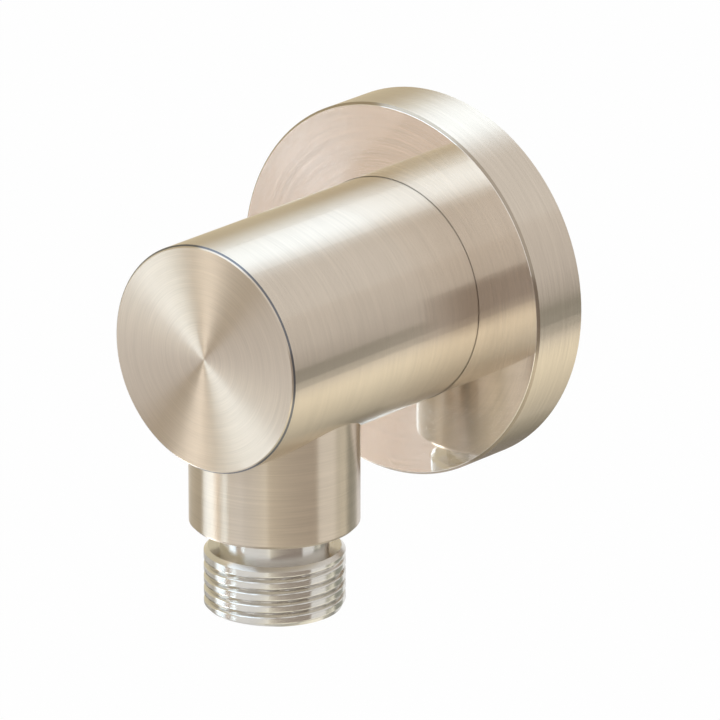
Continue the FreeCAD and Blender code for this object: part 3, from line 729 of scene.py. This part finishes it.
def round_ring(node, rubber):
    """A round rubber ring in the space of its CAD node, with the thin parting line that its mould leaves."""
    low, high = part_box(node)
    size = high - low
    thin_axis = min(range(3), key=lambda axis: size[axis])
    section = size[thin_axis] / 2
    outer = max(size) / 2
    deselect_all()
    bpy.ops.mesh.primitive_torus_add(major_radius=outer - section * 1.02, minor_radius=section,
                                     major_segments=96, minor_segments=20)
    piece = bpy.context.object
    piece.name = piece.data.name = node + "_round"
    bpy.ops.object.mode_set(mode="EDIT")
    bpy.ops.mesh.select_mode(type="EDGE")
    bpy.ops.mesh.select_all(action="DESELECT")
    mesh = bmesh.from_edit_mesh(piece.data)
    for edge in mesh.edges:
        level = all(abs(vertex.co.z) < 1e-6 for vertex in edge.verts)
        far = all(math.hypot(vertex.co.x, vertex.co.y) > outer - section for vertex in edge.verts)
        edge.select_set(level and far)
    bmesh.update_edit_mesh(piece.data)
    bpy.ops.mesh.bevel(offset=section * 0.07, segments=2, affect="EDGES")
    bpy.ops.object.mode_set(mode="OBJECT")
    for vertex in piece.data.vertices:
        if abs(vertex.co.z) < 1e-7 and math.hypot(vertex.co.x, vertex.co.y) > outer - section:
            reach = outer / math.hypot(vertex.co.x, vertex.co.y)
            vertex.co.x *= reach
            vertex.co.y *= reach
    rotation = (math.radians(90), 0, 0) if thin_axis == 1 else (0, 0, 0)
    finished(piece, FIXED_BODY, rubber, [node], location=(low + high) / 2, rotation=rotation,
             smooth=60)


class OUTLET_OT_valve(bpy.types.Operator):
    """Give the valve's plastic and rubber parts their finish, and wind its spring"""

    bl_idname = "outlet.valve"
    bl_label = "Non-Return Valve"

    def execute(self, context):
        white = moulded("white_plastic", (0.80, 0.80, 0.77), 0.42, 2600.0, 0.12, 0.1)
        grey = moulded("grey_plastic", (0.40, 0.42, 0.43), 0.4, 2600.0, 0.12)
        seal = moulded("seal_rubber", (0.03, 0.03, 0.032), 0.5, 5200.0, 0.2)
        for node, material in (("valve_seat", white), ("valve_cage", white), ("valve_poppet", grey),
                               ("poppet_seal", seal)):
            cover_node(node, material)
        wind_spring(context.scene.outlet_spring)
        return {"FINISHED"}


def wind_spring(spring):
    """A coil spring with a closed turn at each end, between the cage's spokes and the poppet's head."""
    low, high = (corner.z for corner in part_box("valve_spring"))
    half_wire, radius = spring.wire / 2, spring.coil_diameter / 2
    start, end = low + half_wire, high - half_wire
    closed = 0.75
    open_turns = spring.turns - 2 * closed
    lead = (end - start - 2 * spring.wire * closed) / open_turns
    per_turn = 24
    deselect_all()
    bpy.ops.curve.primitive_nurbs_path_add()
    coil = bpy.context.object
    coil.name = "valve_spring_coil"
    coil.data.splines.clear()
    spline = coil.data.splines.new("NURBS")
    count = int(spring.turns * per_turn) + 1
    spline.points.add(count - 1)
    for index, point in enumerate(spline.points):
        turns = index / per_turn
        first = min(turns, closed)
        last = max(0.0, turns - closed - open_turns)
        middle = turns - first - last
        height = start + (first + last) * spring.wire + middle * lead
        angle = 2 * math.pi * turns
        point.co = (radius * math.cos(angle), STUB_AXIS_Y + radius * math.sin(angle), height, 1)
    spline.order_u = 4
    spline.use_endpoint_u = True
    spline.resolution_u = 3
    coil.data.bevel_depth = half_wire
    coil.data.bevel_resolution = 4
    coil.data.use_fill_caps = True
    bpy.ops.object.convert(target="MESH")
    piece = bpy.context.object
    finished(piece, FIXED_BODY, spring_steel(), ["valve_spring"], smooth=50)
    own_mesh(piece)


# Studio

# Each panel: name; first and last direction round the barrel's axis in degrees, where 0 is +X and 90 is up;
# where it begins and ends along the barrel, as shares of its distance; distance; glow at the first and the
# last edge; colour. A nearer panel hides what is behind it, so the flags are in front of the lamps.
STUDIO_PANELS = [
    ("warm_card_front", 201, 218, -1.9, -0.84, 0.90, 0.52, 0.52, (1.22, 0.99, 0.81)),
    ("grey_flag_right", 324.1, 365.5, -1.54, 0.15, 0.96, 0.29, 0.29, (1.20, 1.0, 0.86)),
    ("grey_flag_left", 203.5, 220.5, -0.27, 0.44, 0.98, 0.03, 0.03, (1.20, 1.0, 0.86)),
    ("grey_flag_thin", 211.5, 218.0, -0.82, -0.27, 0.97, 0.10, 0.10, (1.20, 1.0, 0.86)),
    ("grey_flag_low", 205, 256, 0.46, 1.35, 0.99, 0.34, 0.06, (1.08, 1.0, 0.85)),
    ("lamp_low_left", 224.3, 230.8, -1.3, -0.72, 1.02, 5.6, 5.6, (0.80, 1.0, 1.17)),
    ("lamp_thin", 221.6, 229.0, -0.61, 0.16, 1.08, 8.50, 8.50, (1.00, 1.0, 1.00)),
    ("lamp_left", 183.4, 221.3, -1.05, -0.44, 1.14, 3.90, 0.05, (0.87, 1.0, 1.12)),
    ("softbox_above", 90.9, 133.3, -1.8, 1.85, 1.20, 2.06, 2.06, (0.86, 1.0, 1.16)),
    ("card_left", 91.2, 198.0, -4, 2.4, 1.26, 0.52, 0.83, (1.10, 1.0, 0.75)),
    ("card_right", 345.2, 396.4, -3.09, 2.38, 1.32, 0.75, 0.92, (1.02, 1.0, 0.98)),
    ("card_low_right", 260.6, 324.7, -1.61, 1.61, 1.38, 0.40, 1.56, (1.04, 1.0, 0.85)),
    ("card_below", 230.7, 362.3, 0.98, 4, 1.44, 0.51, 0.23, (0.98, 1.0, 0.85)),
]


def studio_panel(name, first_angle, last_angle, near, far, distance, first_glow, last_glow, colour):
    """A long panel that lies parallel to the barrel, glows evenly or from one long edge to the other, and
    isn't seen by the camera itself."""
    deselect_all()
    bpy.ops.mesh.primitive_plane_add(size=1)
    panel = bpy.context.object
    panel.name = panel.data.name = name
    turn = math.radians(first_angle + last_angle) / 2
    breadth = 2 * distance * math.tan(math.radians(last_angle - first_angle) / 2)
    panel.scale = (breadth, (far - near) * distance, 1)
    panel.location = (distance * math.cos(turn), (near + far) / 2 * distance, distance * math.sin(turn))
    panel.rotation_euler = (0, -turn - math.radians(90), 0)
    bpy.ops.object.transform_apply(location=True, rotation=True, scale=True)
    material = bpy.data.materials.new(name)
    material.use_nodes = True
    tree = material.node_tree
    tree.nodes.clear()
    glow = tree.nodes.new("ShaderNodeEmission")
    glow.inputs["Color"].default_value = (*colour, 1)
    side = vectors(tree, "DOT_PRODUCT", place(tree), (-math.sin(turn), 0, math.cos(turn)))
    feed(tree, glow.inputs["Strength"], ranged(tree, side, -breadth / 2, breadth / 2, first_glow, last_glow))
    out = tree.nodes.new("ShaderNodeOutputMaterial")
    tree.links.new(glow.outputs[0], out.inputs["Surface"])
    cover(panel, material)
    panel.visible_camera = False
    panel.visible_shadow = False


def white_to_view(tree, plain, out, share=1.0):
    """Show white of strength 1 to camera, glossy and transmission rays, and the plain shader to the rest."""
    path = tree.nodes.new("ShaderNodeLightPath")
    seen = maths(tree, "MAXIMUM", path.outputs["Is Camera Ray"],
                 maths(tree, "MAXIMUM", path.outputs["Is Glossy Ray"], path.outputs["Is Transmission Ray"]))
    white = tree.nodes.new("ShaderNodeBackground" if out.type == "OUTPUT_WORLD" else "ShaderNodeEmission")
    white.inputs["Color"].default_value = (1, 1, 1, 1)
    white.inputs["Strength"].default_value = 1
    mix = tree.nodes.new("ShaderNodeMixShader")
    tree.links.new(maths(tree, "MULTIPLY", seen, share), mix.inputs[0])
    tree.links.new(plain, mix.inputs[1])
    tree.links.new(white.outputs[0], mix.inputs[2])
    tree.links.new(mix.outputs[0], out.inputs["Surface"])
    return mix


def white_surroundings(strength):
    world = bpy.data.worlds.new("white_surroundings")
    bpy.context.scene.world = world
    world.use_nodes = True
    tree = world.node_tree
    tree.nodes.clear()
    plain = tree.nodes.new("ShaderNodeBackground")
    plain.inputs["Color"].default_value = (1, 1, 1, 1)
    plain.inputs["Strength"].default_value = strength
    out = tree.nodes.new("ShaderNodeOutputWorld")
    white_to_view(tree, plain.outputs[0], out)


def pale_floor(drop):
    """A pale floor that keeps the shadow, and is open from below so that low views see past it."""
    deselect_all()
    bpy.ops.mesh.primitive_plane_add(size=20, location=(0, 0, -drop))
    floor = bpy.context.object
    floor.name = floor.data.name = "floor"
    bpy.ops.object.transform_apply(location=True, rotation=True, scale=True)
    material = bpy.data.materials.new("pale_floor")
    material.use_nodes = True
    tree = material.node_tree
    tree.nodes.clear()
    matt = tree.nodes.new("ShaderNodeBsdfDiffuse")
    matt.inputs["Color"].default_value = (0.9, 0.9, 0.9, 1)
    out = tree.nodes.new("ShaderNodeOutputMaterial")
    lit = white_to_view(tree, matt.outputs[0], out, 0.97)
    clear = tree.nodes.new("ShaderNodeBsdfTransparent")
    below = tree.nodes.new("ShaderNodeNewGeometry").outputs["Backfacing"]
    mix = tree.nodes.new("ShaderNodeMixShader")
    tree.links.new(below, mix.inputs[0])
    tree.links.new(lit.outputs[0], mix.inputs[1])
    tree.links.new(clear.outputs[0], mix.inputs[2])
    tree.links.new(mix.outputs[0], out.inputs["Surface"])
    cover(floor, material)


def place_camera(studio):
    """Set the camera at the photograph's own viewing angle and distance."""
    azimuth, elevation = studio.azimuth, studio.elevation
    right = Vector((math.cos(azimuth), math.sin(azimuth), 0))
    back = Vector((math.sin(azimuth) * math.cos(elevation), -math.cos(azimuth) * math.cos(elevation),
                   math.sin(elevation)))
    up = back.cross(right)
    target = Vector((0, -0.022, -0.010))
    shift_right, shift_up = 0.003388, 0.001958
    aim = target + right * shift_right + up * shift_up
    sensor, picture_width = 36, 720
    data = bpy.data.cameras.new("camera")
    data.sensor_width = sensor
    data.lens = studio.focal_pixels * sensor / picture_width
    data.clip_start, data.clip_end = 0.05, 20
    camera = bpy.data.objects.new("camera", data)
    bpy.context.scene.collection.objects.link(camera)
    turn = Matrix((right, up, back)).transposed().to_4x4()
    camera.matrix_world = Matrix.Translation(aim + back * studio.distance) @ turn
    bpy.context.scene.camera = camera


class OUTLET_OT_studio(bpy.types.Operator):
    """Set up the white surroundings, the floor, the soft boxes and cards, and the camera"""

    bl_idname = "outlet.studio"
    bl_label = "Studio"

    def execute(self, context):
        studio = context.scene.outlet_studio
        white_surroundings(studio.daylight)
        pale_floor(studio.floor_drop)
        for panel in STUDIO_PANELS:
            studio_panel(*panel)
        place_camera(studio)
        context.scene.view_settings.view_transform = "Standard"
        return {"FINISHED"}


class OUTLET_PT_panel(bpy.types.Panel):
    """Everything that makes the wall outlet, in the order in which it runs"""

    bl_idname = "OUTLET_PT_panel"
    bl_label = "Wall Outlet"
    bl_space_type = "VIEW_3D"
    bl_region_type = "UI"
    bl_category = "Wall Outlet"

    def draw(self, context):
        column = self.layout.column()
        for group in (context.scene.outlet_finish, context.scene.outlet_thread, context.scene.outlet_spring,
                      context.scene.outlet_studio):
            for name in group.__annotations__:
                column.prop(group, name)
            column.separator()
        for operator in OPERATORS:
            column.operator(operator.bl_idname)


SETTINGS = {"outlet_finish": OutletFinish, "outlet_thread": OutletThread, "outlet_spring": OutletSpring,
            "outlet_studio": OutletStudio}
OPERATORS = (OUTLET_OT_brushed_shell, OUTLET_OT_hose_nipple, OUTLET_OT_wall_nipple, OUTLET_OT_rubber_rings,
             OUTLET_OT_valve, OUTLET_OT_studio)


def register():
    for cls in (*SETTINGS.values(), *OPERATORS, OUTLET_PT_panel):
        bpy.utils.register_class(cls)
    for name, cls in SETTINGS.items():
        setattr(bpy.types.Scene, name, bpy.props.PointerProperty(type=cls))


def unregister():
    for name in SETTINGS:
        delattr(bpy.types.Scene, name)
    for cls in reversed((*SETTINGS.values(), *OPERATORS, OUTLET_PT_panel)):
        bpy.utils.unregister_class(cls)


def main():
    register()
    for operator in OPERATORS:
        family, name = operator.bl_idname.split(".")
        getattr(getattr(bpy.ops, family), name)()
    bpy.context.view_layer.update()


if __name__ == "__main__":
    main()
